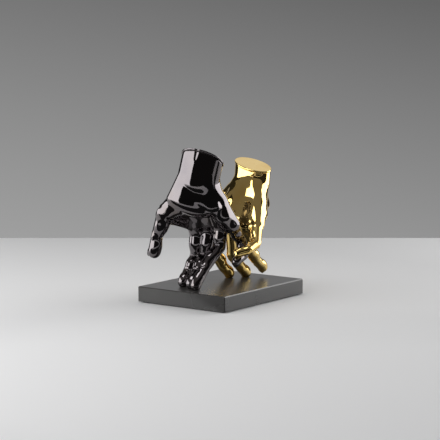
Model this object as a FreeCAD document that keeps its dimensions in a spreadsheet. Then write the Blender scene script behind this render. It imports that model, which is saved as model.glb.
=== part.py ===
import FreeCAD, Part
import math
import os
import Sketcher

# Two hands stand back to back on a plate, on their fingertips, and link their little fingers.
# X runs along the plate, Y across it and Z up. The origin is the centre of the underside.

doc = FreeCAD.newDocument("hand_sculpture")

# Driving dimensions, in millimetres.
DRIVING_SIZES = {
    "plate_length": 200.0,
    "plate_depth": 156.0,
    "plate_thickness": 22.0,
    "plate_chamfer": 1.2,
    "plate_corner_radius": 1.5,
    "felt_thickness": 1.5,
    "felt_inset": 4.0,
    "felt_corner_radius": 3.0,
    "hand_length": 190.0,
    "finger_width": 17.0,
    "thumb_width": 20.0,
    "wrist_width": 65.0,
    "wrist_thickness": 44.0,
    "palm_width": 80.0,
    "palm_thickness": 28.0,
    "web_thickness": 11.0,
    "shell_wall": 6.0,
    "cap_thickness": 2.6,
    "cap_lip": 1.4,
    "spigot_depth": 8.0,
    "spigot_clearance": 0.3,
    "screw_diameter": 3.0,
    "screw_length": 16.0,
    "screw_reach": 5.0,
    "screw_hole_clearance": 0.4,
    "head_diameter": 5.5,
    "head_height": 3.0,
    "socket_width": 2.5,
    "socket_depth": 1.6,
    "washer_diameter": 7.0,
    "washer_thickness": 0.5,
    "washer_clearance": 0.2,
    "recess_clearance": 0.5,
    "insert_diameter": 4.6,
    "insert_length": 6.0,
    "insert_clearance": 0.1,
    "insert_headroom": 1.0,
    "thread_clearance": 0.1,
}

sheet = doc.addObject("Spreadsheet::Sheet", "Sizes")
for row, (name, value) in enumerate(DRIVING_SIZES.items(), start=1):
    sheet.set("A%d" % row, name)
    sheet.set("B%d" % row, str(value))
    sheet.setAlias("B%d" % row, name)
doc.recompute()


def size(name):
    """The value of one driving dimension, read from the sheet."""
    return float(sheet.get(name))


# Joints of each hand, from the wrist to the fingertip. A place is a share of the hand's
# length, measured from the middle of the plate's top: along, across and up.
DARK_JOINT_SHARES = {
    "forearm": [(-0.362, -0.095, 1.005)],
    "wrist": [(-0.364, -0.045, 0.830)],
    "index": [(-0.184, 0.102, 0.430), (-0.190, 0.104, 0.218), (-0.268, 0.118, 0.110), (-0.338, 0.118, 0.0)],
    "middle": [(-0.135, 0.018, 0.447), (-0.170, 0.030, 0.226), (-0.277, 0.030, 0.112), (-0.364, 0.024, 0.0)],
    "ring": [(-0.132, -0.094, 0.463), (-0.168, -0.101, 0.306), (-0.308, -0.060, 0.152), (-0.404, -0.050, 0.0)],
    "little": [(-0.170, -0.220, 0.491), (-0.040, -0.211, 0.342), (-0.050, -0.240, 0.240), (-0.136, -0.232, 0.195)],
    "thumb": [(-0.422, 0.034, 0.748), (-0.452, 0.200, 0.573), (-0.456, 0.278, 0.391), (-0.462, 0.303, 0.266)],
}
GOLD_JOINT_SHARES = {
    "forearm": [(0.350, -0.048, 0.885)],
    "wrist": [(0.338, -0.048, 0.780)],
    "index": [(0.129, 0.102, 0.429), (0.097, 0.127, 0.208), (0.155, 0.102, 0.100), (0.228, 0.091, 0.0)],
    "middle": [(0.116, -0.023, 0.432), (0.159, 0.007, 0.196), (0.252, 0.006, 0.097), (0.331, 0.004, 0.0)],
    "ring": [(0.138, -0.141, 0.438), (0.225, -0.100, 0.237), (0.346, -0.087, 0.139), (0.436, -0.085, 0.072)],
    "little": [(0.141, -0.234, 0.461), (0.017, -0.312, 0.328), (-0.091, -0.314, 0.291), (-0.146, -0.256, 0.270)],
    "thumb": [(0.303, 0.043, 0.733), (0.312, 0.226, 0.577), (0.335, 0.302, 0.400), (0.329, 0.328, 0.286)],
}
# The wrist is cut off along a slanting plane. Its normal leans by these shares of its rise.
DARK_CUT_LEAN_SHARES = (0.70, 0.05)
GOLD_CUT_LEAN_SHARES = (-0.13, -0.264)
# The fingertips that carry the hand. The gold ring finger stays lifted off the plate.
STANDING = [("dark", "index"), ("dark", "middle"), ("dark", "ring"), ("gold", "index"), ("gold", "middle")]

# Girth of each finger, as shares of the finger's or thumb's width: inside the palm, at the
# knuckle, at the middle joint, at the last joint and at the pulp.
FINGER_GIRTH_SHARES = (1.20, 1.30, 1.06, 0.95, 0.87)
FINGER_SCALE_SHARES = {"index": 1.0, "middle": 1.02, "ring": 0.98, "little": 0.84}
THUMB_GIRTH_SHARES = (1.50, 1.45, 1.10, 0.95, 0.90)
# A joint stands a little proud of the bones that it links.
JOINT_SHARE = 1.03
# How high the middle of a standing pulp lies, as a share of its radius.
PULP_RISE_SHARE = 0.82
ROOT_SHARE = 0.22

# Sections of the hand from above the wrist to the finger webs. The first number is the place:
# 0 at the cut, 1 at the wrist and 2 at the knuckles. Then come width and thickness, as shares
# of the wrist's up to the wrist and of the palm's beyond it, and the arch towards the back,
# as a share of the palm's thickness.
WRIST_SECTION_SHARES = (
    (-0.80, 0.90, 0.94, 0.0),
    (0.00, 0.91, 0.95, 0.0),
    (0.65, 0.97, 0.98, 0.0),
    (1.22, 0.88, 1.42, 0.0),
)
PALM_SECTION_SHARES = (
    (1.60, 0.98, 1.18, 0.14),
    (2.00, 1.02, 0.88, 0.34),
    (2.17, 0.88, 0.56, 0.36),
)
RING_POINTS = 12
# An edge is upright where its direction rises at least this much of its length.
UPRIGHT_SHARE = 0.99


def vector_of(shares):
    """A place in the part's frame, from its shares of the hand's length."""
    length = size("hand_length")
    top = size("felt_thickness") + size("plate_thickness")
    return FreeCAD.Vector(shares[0] * length, shares[1] * length, shares[2] * length + top)


def finger_width(finger):
    """The width that a finger's girth shares are taken of."""
    if finger == "thumb":
        return size("thumb_width")
    return size("finger_width") * FINGER_SCALE_SHARES[finger]


def pulp_radius(finger):
    """Radius of the rounded fingertip."""
    return finger_width(finger) * FINGER_GIRTH_SHARES[-1] / 2


def finger_joints(joint_shares, hand, finger):
    """A finger's joints. A standing pulp rests by its own radius, whatever the hand's length."""
    joints = [vector_of(shares) for shares in joint_shares[finger]]
    if (hand, finger) in STANDING:
        joints[-1].z = joints[-1].z + pulp_radius(finger) * PULP_RISE_SHARE
    return joints


def ring(centre, across, back, half_width, half_thickness, arch=0.0):
    """A closed smooth curve round a limb, pushed towards the back of the hand by its arch."""
    points = []
    for step in range(RING_POINTS):
        angle = 2 * math.pi * step / RING_POINTS
        sideways = across * (half_width * math.cos(angle))
        through = back * (half_thickness * math.sin(angle) + arch * math.sin(angle) ** 2)
        points.append(centre + sideways + through)
    curve = Part.BSplineCurve()
    curve.interpolate(Points=points, PeriodicFlag=True)
    return Part.Wire([curve.toShape()])


def unit(vector):
    """A copy of a vector with a length of one."""
    copy = FreeCAD.Vector(vector)
    copy.normalize()
    return copy


def across_and_back(tangent, across_hint):
    """Two directions square to the tangent, the first as near to the hint as possible."""
    across = unit(across_hint - tangent * across_hint.dot(tangent))
    return across, unit(tangent.cross(across))


def bone(start, end, start_radius, end_radius):
    """A tapered bone between two joints."""
    along = end - start
    return Part.makeCone(start_radius, end_radius, along.Length, start, along)


def finger_solids(joints, root, width, girth_shares):
    """One finger: tapered bones with round joints, from inside the palm to the pulp."""
    stations = [root] + joints
    radii = [width * share / 2 for share in girth_shares]
    solids = []
    for index in range(len(stations) - 1):
        solids.append(bone(stations[index], stations[index + 1], radii[index], radii[index + 1]))
    for joint, radius in zip(joints, radii[1:]):
        solids.append(Part.makeSphere(radius * JOINT_SHARE, joint))
    return solids


def palm_frame(joint_shares, side):
    """The points and directions that the palm's sections follow."""
    forearm = vector_of(joint_shares["forearm"][0])
    wrist = vector_of(joint_shares["wrist"][0])
    index_knuckle = vector_of(joint_shares["index"][0])
    little_knuckle = vector_of(joint_shares["little"][0])
    knuckles = (index_knuckle + little_knuckle) / 2
    across_hint = (index_knuckle - little_knuckle) * side
    return forearm, wrist, knuckles, across_hint


def palm_wires(joint_shares, side, section_shares, inward):
    """Sections round the wrist or palm, drawn in by the inward distance."""
    forearm, wrist, knuckles, across_hint = palm_frame(joint_shares, side)
    down_forearm = unit(wrist - forearm)
    down_palm = unit(knuckles - wrist)
    wires = []
    for place_share, width_share, thickness_share, arch_share in section_shares:
        if place_share <= 1:
            centre = forearm + (wrist - forearm) * place_share
            limb = "wrist"
        else:
            centre = wrist + (knuckles - wrist) * (place_share - 1)
            limb = "palm"
        turned = min(max(place_share, 0), 2) / 2
        tangent = unit(down_forearm * (1 - turned) + down_palm * turned)
        across, back = across_and_back(tangent, across_hint)
        half_width = size(limb + "_width") * width_share / 2 - inward
        half_thickness = size(limb + "_thickness") * thickness_share / 2 - inward
        wires.append(ring(centre, across, back, half_width, half_thickness, size("palm_thickness") * arch_share))
    return wires


def palm_solid(joint_shares, side):
    """The palm and wrist as one smooth body, longer than the finished wrist."""
    section_shares = WRIST_SECTION_SHARES + PALM_SECTION_SHARES
    return Part.makeLoft(palm_wires(joint_shares, side, section_shares, 0.0), True, False)


def cavity_solid(joint_shares, side, extra):
    """The hollow of the cast wrist, which stops inside the palm."""
    wires = palm_wires(joint_shares, side, WRIST_SECTION_SHARES, size("shell_wall") + extra)
    return Part.makeLoft(wires, True, False)


def web_solid(joint_shares):
    """The skin between the thumb and the index finger."""
    thumb = [vector_of(shares) for shares in joint_shares["thumb"]]
    wrist = vector_of(joint_shares["wrist"][0])
    index_knuckle = vector_of(joint_shares["index"][0])
    wires = []
    for start, end, start_share, end_share in ((thumb[0], thumb[1], 0.05, 1.12), (wrist, index_knuckle, 0.30, 0.90)):
        top = start + (end - start) * start_share
        bottom = start + (end - start) * end_share
        along = unit(bottom - top)
        towards = unit(index_knuckle - thumb[1])
        across, back = across_and_back(towards, along)
        reach = (bottom - top).Length / 2
        wires.append(ring((top + bottom) / 2, across, back, reach, size("web_thickness") / 2))
    return Part.makeLoft(wires, True, True)


def slab(centre, normal, thickness):
    """A wide block whose lower face passes through the centre, square to the normal."""
    width = size("hand_length")
    block = Part.makeBox(width, width, thickness, FreeCAD.Vector(-width / 2, -width / 2, 0))
    turn = FreeCAD.Rotation(FreeCAD.Vector(0, 0, 1), normal)
    block.Placement = FreeCAD.Placement(centre, turn)
    return block


def fixing_point(joint_shares, hand, finger):
    """Where a standing fingertip meets the plate's top."""
    point = finger_joints(joint_shares, hand, finger)[-1]
    point.z = size("felt_thickness") + size("plate_thickness")
    return point


def hand_solid(joint_shares, hand, side, cut_normal):
    """A slip-cast hand: fused fingers, palm and web, hollow wrist and holes for the inserts."""
    wrist = vector_of(joint_shares["wrist"][0])
    limbs = []
    for finger in ("index", "middle", "ring", "little"):
        joints = finger_joints(joint_shares, hand, finger)
        root = joints[0] + (wrist - joints[0]) * ROOT_SHARE
        limbs.extend(finger_solids(joints, root, finger_width(finger), FINGER_GIRTH_SHARES))
    joints = finger_joints(joint_shares, hand, "thumb")
    root = joints[0] + (wrist - joints[0]) * ROOT_SHARE
    limbs.extend(finger_solids(joints, root, finger_width("thumb"), THUMB_GIRTH_SHARES))
    limbs.append(web_solid(joint_shares))
    solid = palm_solid(joint_shares, side).fuse(limbs)
    forearm = vector_of(joint_shares["forearm"][0])
    solid = solid.cut(slab(forearm, cut_normal, size("hand_length")))
    under = FreeCAD.Vector(0, 0, size("felt_thickness") + size("plate_thickness"))
    solid = solid.cut(slab(under, FreeCAD.Vector(0, 0, -1), size("plate_thickness")))
    solid = solid.cut(cavity_solid(joint_shares, side, 0.0))
    for owner, finger in STANDING:
        if owner == hand:
            point = fixing_point(joint_shares, hand, finger)
            radius = (size("insert_diameter") + size("insert_clearance")) / 2
            depth = size("insert_length") + size("insert_headroom")
            solid = solid.cut(Part.makeCylinder(radius, depth, point))
    return solid


def cap_solid(joint_shares, side, cut_normal):
    """The disc that closes the wrist: a lip over the rim and a spigot in the hollow."""
    forearm = vector_of(joint_shares["forearm"][0])
    lip = Part.makeLoft(palm_wires(joint_shares, side, WRIST_SECTION_SHARES, -size("cap_lip")), True, False)
    disc = lip.common(slab(forearm, cut_normal, size("cap_thickness")))
    core = cavity_solid(joint_shares, side, size("spigot_clearance"))
    spigot = core.common(slab(forearm - cut_normal * size("spigot_depth"), cut_normal, size("spigot_depth")))
    return disc.fuse(spigot)


def add_shape(name, shape):
    """A finished shape as an object of the document."""
    feature = doc.addObject("Part::Feature", name)
    solids = shape.Solids
    feature.Shape = solids[0] if len(solids) == 1 else shape
    feature.Label = name
    return feature


def add_sketch(body, name):
    """A sketch on the level origin plane of its own body."""
    level = [plane for plane in body.Origin.OriginFeatures if plane.Role == "XY_Plane"][0]
    sketch = body.newObject("Sketcher::SketchObject", name)
    sketch.AttachmentSupport = [(level, "")]
    sketch.MapMode = "FlatFace"
    return sketch


def draw_rectangle(sketch, length_expression, depth_expression):
    """A rectangle about the sketch's origin, sized by two expressions."""
    half = size("finger_width")
    corners = [(-half, -half), (half, -half), (half, half), (-half, half)]
    for index in range(4):
        start = FreeCAD.Vector(corners[index][0], corners[index][1], 0)
        end = FreeCAD.Vector(corners[(index + 1) % 4][0], corners[(index + 1) % 4][1], 0)
        sketch.addGeometry(Part.LineSegment(start, end), False)
    for index in range(4):
        sketch.addConstraint(Sketcher.Constraint("Coincident", index, 2, (index + 1) % 4, 1))
    for index in (0, 2):
        sketch.addConstraint(Sketcher.Constraint("Horizontal", index))
    for index in (1, 3):
        sketch.addConstraint(Sketcher.Constraint("Vertical", index))
    sketch.addConstraint(Sketcher.Constraint("Symmetric", 0, 1, 1, 2, -1, 1))
    sketch.addConstraint(Sketcher.Constraint("DistanceX", 0, 1, 0, 2, 2 * half))
    sketch.setExpression("Constraints[%d]" % (sketch.ConstraintCount - 1), length_expression)
    sketch.addConstraint(Sketcher.Constraint("DistanceY", 1, 1, 1, 2, 2 * half))
    sketch.setExpression("Constraints[%d]" % (sketch.ConstraintCount - 1), depth_expression)


def fixing_expressions(hand, finger):
    """Expressions for where a standing fingertip's fixing lies, along and across."""
    shares = (DARK_JOINT_SHARES if hand == "dark" else GOLD_JOINT_SHARES)[finger][-1]
    return "Sizes.hand_length * %s" % shares[0], "Sizes.hand_length * %s" % shares[1]


def draw_fixing_circles(sketch, diameter_expression):
    """One circle round each fixing, all of one diameter."""
    for hand, finger in STANDING:
        shares = (DARK_JOINT_SHARES if hand == "dark" else GOLD_JOINT_SHARES)[finger]
        centre = vector_of(shares[-1])
        centre.z = 0
        circle = sketch.addGeometry(Part.Circle(centre, FreeCAD.Vector(0, 0, 1), size("screw_diameter")), False)
        along, across = fixing_expressions(hand, finger)
        sketch.addConstraint(Sketcher.Constraint("DistanceX", -1, 1, circle, 3, centre.x))
        sketch.setExpression("Constraints[%d]" % (sketch.ConstraintCount - 1), along)
        sketch.addConstraint(Sketcher.Constraint("DistanceY", -1, 1, circle, 3, centre.y))
        sketch.setExpression("Constraints[%d]" % (sketch.ConstraintCount - 1), across)
        sketch.addConstraint(Sketcher.Constraint("Diameter", circle, 2 * size("screw_diameter")))
        sketch.setExpression("Constraints[%d]" % (sketch.ConstraintCount - 1), diameter_expression)


def upright_edges(shape):
    """Names of the vertical edges of a plate."""
    names = []
    for index, edge in enumerate(shape.Edges, start=1):
        if abs(edge.tangentAt(edge.FirstParameter).z) > UPRIGHT_SHARE:
            names.append("Edge%d" % index)
    return names


def top_face(shape):
    """Name of a plate's highest face."""
    heights = [face.CenterOfMass.z for face in shape.Faces]
    return "Face%d" % (heights.index(max(heights)) + 1)


def base_plate():
    """The plate: rounded corners, a chamfered top edge and counterbored screw holes."""
    body = doc.addObject("PartDesign::Body", "base_plate")
    body.Label = "base_plate"
    body.setExpression("Placement.Base.z", "Sizes.felt_thickness")
    outline = add_sketch(body, "plate_outline")
    draw_rectangle(outline, "Sizes.plate_length", "Sizes.plate_depth")
    pad = body.newObject("PartDesign::Pad", "plate_pad")
    pad.Profile = outline
    pad.setExpression("Length", "Sizes.plate_thickness")
    doc.recompute()
    corners = body.newObject("PartDesign::Fillet", "plate_corners")
    corners.Base = (pad, upright_edges(pad.Shape))
    corners.setExpression("Radius", "Sizes.plate_corner_radius")
    doc.recompute()
    bevel = body.newObject("PartDesign::Chamfer", "plate_bevel")
    bevel.Base = (corners, [top_face(corners.Shape)])
    bevel.setExpression("Size", "Sizes.plate_chamfer")
    doc.recompute()
    holes = add_sketch(body, "screw_holes")
    draw_fixing_circles(holes, "Sizes.screw_diameter + Sizes.screw_hole_clearance")
    through = body.newObject("PartDesign::Pocket", "screw_hole_pocket")
    through.Profile = holes
    through.Type = "ThroughAll"
    through.Reversed = True
    doc.recompute()
    recesses = add_sketch(body, "head_recesses")
    draw_fixing_circles(recesses, "Sizes.washer_diameter + Sizes.recess_clearance")
    recess = body.newObject("PartDesign::Pocket", "head_recess_pocket")
    recess.Profile = recesses
    recess.Reversed = True
    recess.setExpression("Length", "Sizes.plate_thickness - (%s)" % PLATE_LEFT)
    doc.recompute()
    if not pad.Shape.Volume > through.Shape.Volume > recess.Shape.Volume:
        raise RuntimeError("a screw hole or head recess cuts nothing")
    return body


def felt_pad():
    """The felt under the plate, drawn in a little from its edges."""
    body = doc.addObject("PartDesign::Body", "felt_pad")
    body.Label = "felt_pad"
    outline = add_sketch(body, "felt_outline")
    inset = " - 2 * Sizes.felt_inset"
    draw_rectangle(outline, "Sizes.plate_length" + inset, "Sizes.plate_depth" + inset)
    pad = body.newObject("PartDesign::Pad", "felt_layer")
    pad.Profile = outline
    pad.setExpression("Length", "Sizes.felt_thickness")
    doc.recompute()
    corners = body.newObject("PartDesign::Fillet", "felt_corners")
    corners.Base = (pad, upright_edges(pad.Shape))
    corners.setExpression("Radius", "Sizes.felt_corner_radius")
    return body


# What is left of the plate above a head recess: the screw clamps it, less washer and reach.
PLATE_LEFT = "Sizes.screw_length - Sizes.screw_reach - Sizes.washer_thickness"
PLATE_TOP = "Sizes.felt_thickness + Sizes.plate_thickness"
# Where the screw's head meets its washer.
HEAD_LEVEL = PLATE_TOP + " + Sizes.screw_reach - Sizes.screw_length"


def cylinder(name, hand, finger, radius, height, level):
    """An upright cylinder on a fixing's axis, sized by expressions."""
    along, across = fixing_expressions(hand, finger)
    item = doc.addObject("Part::Cylinder", name)
    item.setExpression("Radius", radius)
    item.setExpression("Height", height)
    item.setExpression("Placement.Base.x", along)
    item.setExpression("Placement.Base.y", across)
    item.setExpression("Placement.Base.z", level)
    return item


def screw(hand, finger):
    """A socket screw, head down in its recess, its shank up in the fingertip."""
    name = "%s_%s_screw" % (hand, finger)
    along, across = fixing_expressions(hand, finger)
    shank = cylinder(name + "_shank", hand, finger, "Sizes.screw_diameter / 2", "Sizes.screw_length", HEAD_LEVEL)
    head_base = HEAD_LEVEL + " - Sizes.head_height"
    head = cylinder(name + "_head", hand, finger, "Sizes.head_diameter / 2", "Sizes.head_height", head_base)
    solid = doc.addObject("Part::Fuse", name + "_solid")
    solid.Base = shank
    solid.Tool = head
    socket = doc.addObject("Part::Prism", name + "_socket")
    socket.Polygon = 6
    socket.setExpression("Circumradius", "Sizes.socket_width / sqrt(3)")
    socket.setExpression("Height", "Sizes.socket_depth")
    socket.setExpression("Placement.Base.x", along)
    socket.setExpression("Placement.Base.y", across)
    socket.setExpression("Placement.Base.z", head_base)
    item = doc.addObject("Part::Cut", name)
    item.Base = solid
    item.Tool = socket
    item.Label = name
    return item


def tube(name, hand, finger, outer, bore, height, level):
    """A cylinder with a bore right through it."""
    outside = cylinder(name + "_outside", hand, finger, outer + " / 2", height, level)
    inside = cylinder(name + "_bore", hand, finger, "(" + bore + ") / 2", height, level)
    item = doc.addObject("Part::Cut", name)
    item.Base = outside
    item.Tool = inside
    item.Label = name
    return item


def washer(hand, finger):
    """The washer between a screw's head and the plate."""
    bore = "Sizes.screw_diameter + Sizes.washer_clearance"
    return tube("%s_%s_washer" % (hand, finger), hand, finger, "Sizes.washer_diameter", bore,
                "Sizes.washer_thickness", HEAD_LEVEL)


def insert(hand, finger):
    """The threaded insert cemented into a fingertip, flush with its flat."""
    bore = "Sizes.screw_diameter + Sizes.thread_clearance"
    return tube("%s_%s_insert" % (hand, finger), hand, finger, "Sizes.insert_diameter", bore,
                "Sizes.insert_length", PLATE_TOP)


pieces = [base_plate(), felt_pad()]
for hand_name, shares_table, hand_side, lean_shares in (
        ("dark", DARK_JOINT_SHARES, 1, DARK_CUT_LEAN_SHARES),
        ("gold", GOLD_JOINT_SHARES, -1, GOLD_CUT_LEAN_SHARES)):
    normal = unit(FreeCAD.Vector(lean_shares[0], lean_shares[1], 1))
    pieces.append(add_shape(hand_name + "_hand", hand_solid(shares_table, hand_name, hand_side, normal)))
    pieces.append(add_shape(hand_name + "_wrist_cap", cap_solid(shares_table, hand_side, normal)))
for hand_name, finger_name in STANDING:
    pieces.append(insert(hand_name, finger_name))
    pieces.append(screw(hand_name, finger_name))
    pieces.append(washer(hand_name, finger_name))
doc.recompute()

for item in doc.Objects:
    if "Invalid" in item.State or "Error" in item.State:
        raise RuntimeError("%s did not build" % item.Name)
for piece in pieces:
    if piece.Shape.isNull() or not piece.Shape.isValid():
        raise RuntimeError("%s has no valid shape" % piece.Label)

os.makedirs("parts", exist_ok=True)
for piece in pieces:
    piece.Shape.exportStep("parts/%s.step" % piece.Label)
    box = piece.Shape.BoundBox
    print("%-24s solids %d volume %.1f  z %.1f to %.1f" % (
        piece.Label, len(piece.Shape.Solids), piece.Shape.Volume, box.ZMin, box.ZMax))
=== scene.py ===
import math

import bpy
import numpy as np
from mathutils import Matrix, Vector


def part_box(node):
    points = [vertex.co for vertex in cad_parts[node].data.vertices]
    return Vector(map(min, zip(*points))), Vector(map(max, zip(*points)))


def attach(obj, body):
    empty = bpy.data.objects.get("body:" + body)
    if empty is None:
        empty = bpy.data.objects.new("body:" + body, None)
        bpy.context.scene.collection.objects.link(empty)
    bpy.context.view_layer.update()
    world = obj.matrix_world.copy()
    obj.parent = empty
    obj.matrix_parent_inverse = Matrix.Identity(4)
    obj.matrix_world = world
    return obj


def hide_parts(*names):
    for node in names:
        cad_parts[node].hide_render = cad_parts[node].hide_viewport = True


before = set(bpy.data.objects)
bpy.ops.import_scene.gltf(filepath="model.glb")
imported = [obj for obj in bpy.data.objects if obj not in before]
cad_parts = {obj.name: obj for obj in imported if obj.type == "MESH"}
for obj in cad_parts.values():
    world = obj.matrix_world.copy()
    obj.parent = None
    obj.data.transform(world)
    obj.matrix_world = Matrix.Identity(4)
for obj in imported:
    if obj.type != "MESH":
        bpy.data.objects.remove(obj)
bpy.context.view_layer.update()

# The looks of two linked hands on a plate. Everything is placed in the model's own frame: X along
# the plate, Y across it and Z up. Lengths are in metres, and the hands are worked out in millimetres.

MM = 0.001

# Driving sizes of the hands, in millimetres.
HAND_LENGTH = 190.0
FINGER_WIDTH = 17.0
THUMB_WIDTH = 20.0
WRIST_WIDTH = 59.0
WRIST_THICKNESS = 43.0
PALM_WIDTH = 80.0
PALM_THICKNESS = 28.0
CAP_THICKNESS = 2.6
CAP_LIP = 1.0
PLATE_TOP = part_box("base_plate")[1].z / MM

# The fineness of the hands' meshes, the distance that stands for empty space and the room left
# round each form, in millimetres.
MESH_STEP = 0.9
FAR = 40.0
MARGIN = 7.0
# How often a mesh is evened out, and how often its points are then pulled back to the surface.
RELAX_ROUNDS = 3
PULL_ROUNDS = 2
# The least slope and the least squared slope that a distance is divided by.
LEAST_SLOPE = 1e-4
LEAST_SQUARED_SLOPE = 1e-3

# Joints of each hand, from the wrist to the fingertip. A place is a share of the hand's
# length, measured from the middle of the plate's top: along, across and up.
DARK_JOINT_SHARES = {
    "forearm": [(-0.354, -0.079, 0.985)],
    "wrist": [(-0.372, -0.050, 0.830)],
    "index": [
        (-0.184, 0.102, 0.430), (-0.190, 0.104, 0.218), (-0.268, 0.118, 0.110), (-0.338, 0.118, 0.0),
    ],
    "middle": [
        (-0.135, 0.018, 0.447), (-0.170, 0.030, 0.226), (-0.277, 0.030, 0.112), (-0.364, 0.024, 0.0),
    ],
    "ring": [
        (-0.132, -0.094, 0.463), (-0.168, -0.101, 0.306), (-0.308, -0.060, 0.152), (-0.404, -0.050, 0.0),
    ],
    "little": [
        (-0.170, -0.220, 0.491), (-0.040, -0.211, 0.342), (-0.050, -0.240, 0.240), (-0.136, -0.232, 0.195),
    ],
    "thumb": [
        (-0.422, 0.034, 0.748), (-0.452, 0.200, 0.573), (-0.456, 0.278, 0.391), (-0.462, 0.303, 0.266),
    ],
}
GOLD_JOINT_SHARES = {
    "forearm": [(0.350, -0.048, 0.885)],
    "wrist": [(0.338, -0.048, 0.780)],
    "index": [
        (0.129, 0.102, 0.429), (0.097, 0.127, 0.208), (0.155, 0.102, 0.100), (0.228, 0.091, 0.0),
    ],
    "middle": [
        (0.116, -0.023, 0.432), (0.159, 0.007, 0.196), (0.252, 0.006, 0.097), (0.331, 0.004, 0.0),
    ],
    "ring": [
        (0.138, -0.141, 0.438), (0.225, -0.100, 0.237), (0.346, -0.087, 0.139), (0.436, -0.085, 0.072),
    ],
    "little": [
        (0.141, -0.234, 0.461), (0.017, -0.312, 0.328), (-0.091, -0.314, 0.291), (-0.146, -0.256, 0.270),
    ],
    "thumb": [
        (0.303, 0.043, 0.733), (0.312, 0.226, 0.577), (0.335, 0.302, 0.400), (0.329, 0.328, 0.286),
    ],
}
DARK_CUT_LEAN_SHARES = (0.70, 0.05)
GOLD_CUT_LEAN_SHARES = (-0.13, -0.264)
STANDING = [("dark", "index"), ("dark", "middle"), ("dark", "ring"), ("gold", "index"), ("gold", "middle")]
FINGERS = ("index", "middle", "ring", "little")

# Girth of each finger at the knuckle, middle joint, last joint and pulp, as shares of its width.
FINGER_GIRTH_SHARES = (1.22, 1.06, 0.95, 0.87)
FINGER_SCALE_SHARES = {"index": 1.0, "middle": 1.02, "ring": 0.98, "little": 0.84}
THUMB_GIRTH_SHARES = (1.45, 1.22, 0.82, 0.88)
# How high the middle of a standing pulp is above the plate, as a share of its radius.
PULP_RISE_SHARE = 0.82
# The fat pads on the palm side of each bone: how far out, and the reach along, sideways and out.
# They are shares of the bone's length and of its mean girth.
PAD_OUT_SHARE = 0.15
PAD_REACH_SHARES = (0.44, 0.52, 0.47)
# Creases at the joints, as shares of the joint's radius: their own radius and depth, the gap between
# two of them, and how far each reaches to the sides and drops there.
CREASE_RADIUS_SHARE = 0.13
CREASE_DEPTH_SHARE = 0.07
CREASE_GAP_SHARE = 0.30
CREASE_REACH_SHARE = 0.62
CREASE_DROP_SHARE = 0.22
# The creases on each side of a joint, counted in gaps from its middle.
PALM_SIDE_CREASES = (0.0,)
BACK_CREASES = (-1.0, 0.0, 1.0)
# Nails: the place along and out from the pulp's middle, and the reach along, sideways and out, as
# shares of its radius.
NAIL_PLACE_SHARES = (0.05, 0.80)
NAIL_REACH_SHARES = (0.92, 0.68, 0.27)

# The palm's bones: where they start across the wrist, as shares of its width, and how far their
# middles are pushed to the back, as shares of the palm's thickness. Their radii at the wrist, in the
# middle and at the knuckle are shares of that thickness too.
PALM_START_SHARES = {"index": 0.22, "middle": 0.08, "ring": -0.08, "little": -0.19}
PALM_ARCH_SHARES = {"index": 0.08, "middle": 0.14, "ring": 0.13, "little": 0.02}
PALM_RADIUS_SHARES = (0.50, 0.42, 0.44)

# The fleshy edge of the heel, from the thumb across to the little finger. A place is a share of
# the palm's length, width and thickness, and the last number is the radius, a share of the
# thickness. The palm side is negative. The rays join the edge to the wrist.
HEEL_EDGE_SHARES = (
    (0.35, 0.33, -0.87, 0.39),
    (0.28, -0.02, -0.62, 0.38),
    (0.44, -0.22, -0.56, 0.36),
    (0.72, -0.32, -0.34, 0.33),
    (1.00, -0.36, -0.04, 0.32),
)
HEEL_RAY_SHARES = ((0.00, 0.16, -0.12, 0.44), (0.00, 0.02, -0.10, 0.48), (0.00, -0.13, -0.12, 0.44))
# The smooth back of the hand: places along, across and through as shares of the palm's length, width
# and thickness, and the radius as a share of the thickness.
BACK_SHARES = (
    ((0.02, 0.14, 0.22, 0.42), (0.92, 0.30, 0.06, 0.36)),
    ((0.00, 0.02, 0.30, 0.42), (0.94, 0.10, 0.22, 0.36)),
    ((0.02, -0.08, 0.26, 0.42), (0.92, -0.12, 0.20, 0.36)),
    ((0.06, -0.16, 0.18, 0.40), (0.88, -0.30, 0.04, 0.34)),
)
# The root of the palm carries the wrist's oval on to this place: along, across and through as shares
# of the palm's length, width and thickness, then its width and thickness as shares of the wrist's.
# Its start lies this far above the wrist, as a share of the wrist's thickness, and has this share of
# the wrist's girth. Its oval is turned by these degrees, so that the ball of the thumb comes forward.
PALM_ROOT_SHARES = (0.34, 0.09, -0.50, 1.27, 1.0)
ROOT_RISE_SHARE = 0.35
ROOT_START_SHARE = 0.86
PALM_ROOT_TURN = 20.0
# The bone that shows on the back of the wrist: its place and its reach along, across and out.
WRIST_BONE_SHARES = (-0.10, -0.20, 0.55, 0.42, 0.40, 0.34)
# The groove between the tendons inside the wrist: its place across, how far its upper end stands off
# the skin, its radius and its length, as shares of the wrist's thickness. Its lower end stands off by
# a share of its radius, so that it runs out.
TENDON_SHARES = (0.06, 0.01, 0.05, 0.60)
TENDON_END_SHARE = 1.4
# How far the wrist reaches into the palm, as a share of its thickness, and the room round its cap,
# as a share of its width.
WRIST_START_SHARE = 0.10
CAP_ROOM_SHARE = 0.7

# The skin between thumb and index finger, as strips. A strip starts on the thumb's bones (0 to 1 on
# the first, 1 to 2 on the next) and ends on the line from the wrist to the index knuckle. The last
# number is its radius as a share of the thumb's width.
WEB_SHARES = (
    (0.35, 0.45, 0.45),
    (0.65, 0.62, 0.40),
    (0.92, 0.78, 0.34),
    (1.12, 0.90, 0.27),
    (1.28, 1.00, 0.20),
)

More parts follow.
